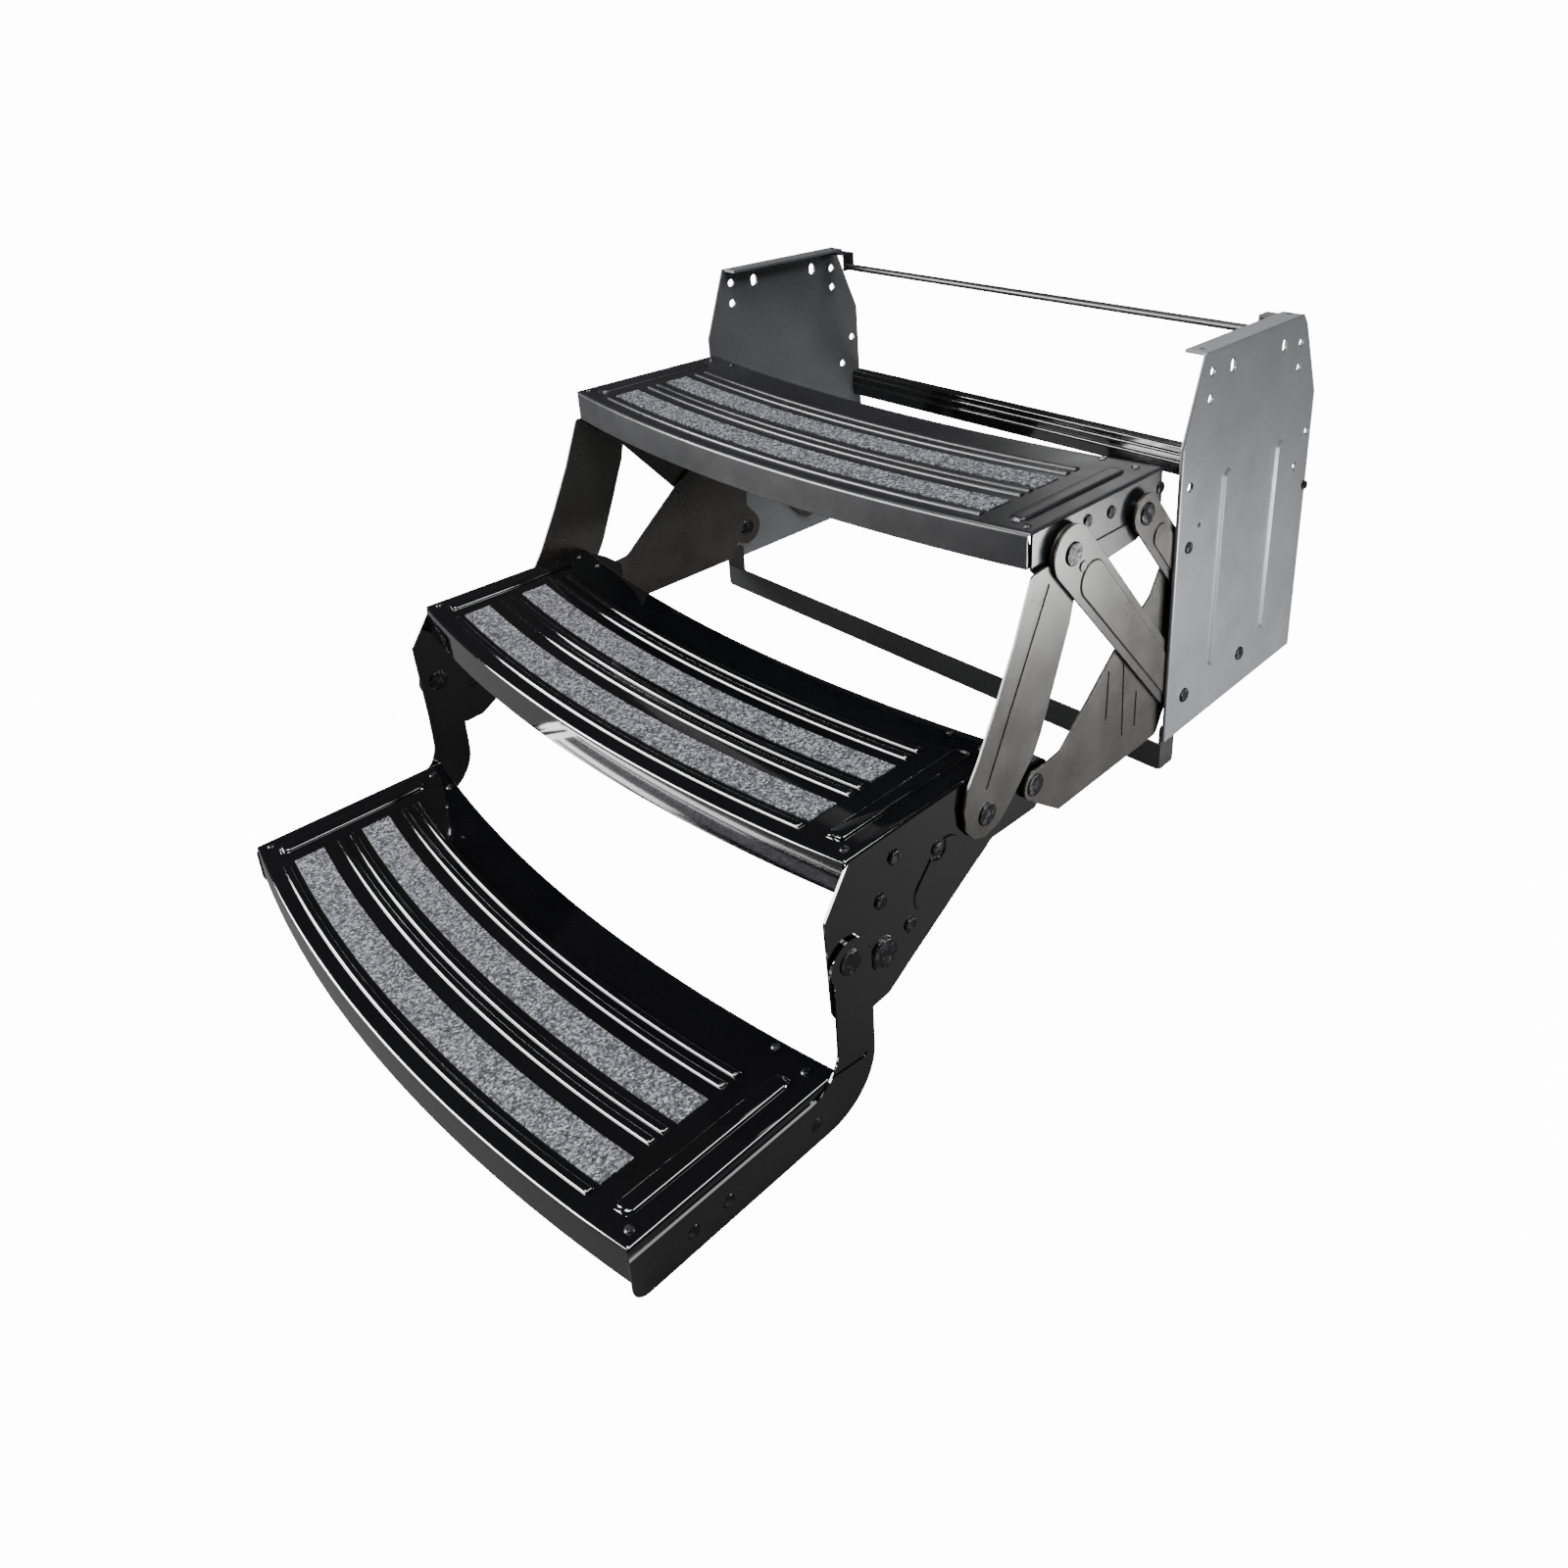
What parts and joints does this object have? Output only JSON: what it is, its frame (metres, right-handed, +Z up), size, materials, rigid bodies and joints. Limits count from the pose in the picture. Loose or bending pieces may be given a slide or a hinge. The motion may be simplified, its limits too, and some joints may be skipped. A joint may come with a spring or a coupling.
{
  "type": "camper entry step",
  "caption": "Folding entry step for a camper: bowed treads on swinging links between two steel housing plates.",
  "frame": {"origin": "middle of the two mounting flanges, in the plane of their upper faces", "axes": "+Z up, +X to the right as one climbs the steps, -Y towards the person who climbs"},
  "size_m": [0.6374, 0.8751, 0.4954],
  "materials": {
    "gloss_black": "gloss black coat",
    "satin_black": "satin black coat",
    "link_steel": "satin dark grey",
    "housing_grey": "satin grey",
    "grip": "coarse grit",
    "fastener": "dark coat, rubbed"
  },
  "bodies": {
    "housing": {"channel_bolts": "fastener", "channel_nuts": "fastener", "front_bar_brackets": "satin_black", "front_link_pins": "fastener", "housing_plate_left": "housing_grey", "housing_plate_right": "housing_grey", "link_spacers": "fastener", "lower_front_bar": "satin_black", "plate_studs": "fastener", "rear_channel": "gloss_black", "rear_link_pins": "fastener", "upper_bar_rivets": "fastener", "upper_rear_bar": "satin_black"},
    "front_links": {"front_link_left": "link_steel", "front_link_right": "link_steel"},
    "rear_links": {"brace_spacers": "fastener", "brace_upper_pins": "fastener", "rear_link_left": "link_steel", "rear_link_right": "link_steel"},
    "top_step": {"top_front_pins": "fastener", "top_grip_strips": "grip", "top_pin_spacers": "fastener", "top_plate_studs": "fastener", "top_rear_pins": "fastener", "top_side_plate_left": "satin_black", "top_side_plate_right": "satin_black", "top_tread": "satin_black", "top_tread_rivets": "fastener"},
    "drop_legs": {"drop_leg_left": "link_steel", "drop_leg_right": "link_steel"},
    "brace_plates": {"brace_lower_rivets": "fastener", "brace_plate_left": "link_steel", "brace_plate_right": "link_steel"},
    "middle_step": {"fold_pins": "fastener", "fold_stops": "fastener", "leg_pins": "fastener", "leg_spacers": "fastener", "middle_grip_strips": "grip", "middle_plate_bolts": "fastener", "middle_side_plate_left": "gloss_black", "middle_side_plate_right": "gloss_black", "middle_tread": "gloss_black", "middle_tread_rivets": "fastener"},
    "bottom_step": {"bottom_grip_strips": "grip", "bottom_plate_rivets": "fastener", "bottom_side_plate_left": "gloss_black", "bottom_side_plate_right": "gloss_black", "bottom_tread": "gloss_black", "bottom_tread_rivets": "fastener"}
  },
  "joints": [
    {"name": "main_swing", "type": "hinge", "parent": "housing", "child": "front_links", "pos_m": [0, -0.086, -0.326], "axis": [-1, 0, 0], "range_deg": [0, 46]},
    {"name": "rear_swing", "type": "hinge", "parent": "housing", "child": "rear_links", "pos_m": [0, 0.0185, -0.326], "axis": [-1, 0, 0], "range_deg": [0, 46]},
    {"name": "top_step_level", "type": "hinge", "parent": "front_links", "child": "top_step", "pos_m": [0, -0.2645, -0.122], "axis": [-1, 0, 0], "range_deg": [-46, 0]},
    {"name": "leg_swing", "type": "hinge", "parent": "top_step", "child": "drop_legs", "pos_m": [0, -0.2645, -0.122], "axis": [-1, 0, 0], "range_deg": [-17, 0]},
    {"name": "middle_step_turn", "type": "hinge", "parent": "drop_legs", "child": "middle_step", "pos_m": [0, -0.3635, -0.31], "axis": [-1, 0, 0], "range_deg": [0, 117]},
    {"name": "brace_swing", "type": "hinge", "parent": "rear_links", "child": "brace_plates", "pos_m": [0, -0.10161, -0.18873], "axis": [-1, 0, 0], "range_deg": [-63.12, 0]},
    {"name": "bottom_fold", "type": "hinge", "parent": "middle_step", "child": "bottom_step", "pos_m": [0, -0.5135, -0.355], "axis": [-1, 0, 0], "range_deg": [0, 180]}
  ],
  "couplings": [
    {"joint": "rear_swing", "follows": "main_swing", "ratio": 1},
    {"joint": "top_step_level", "follows": "main_swing", "ratio": -1},
    {"joint": "leg_swing", "follows": "main_swing", "ratio": -0.36957},
    {"joint": "middle_step_turn", "follows": "main_swing", "ratio": 2.5435},
    {"joint": "brace_swing", "follows": "main_swing", "ratio": -1.3722}
  ]
}
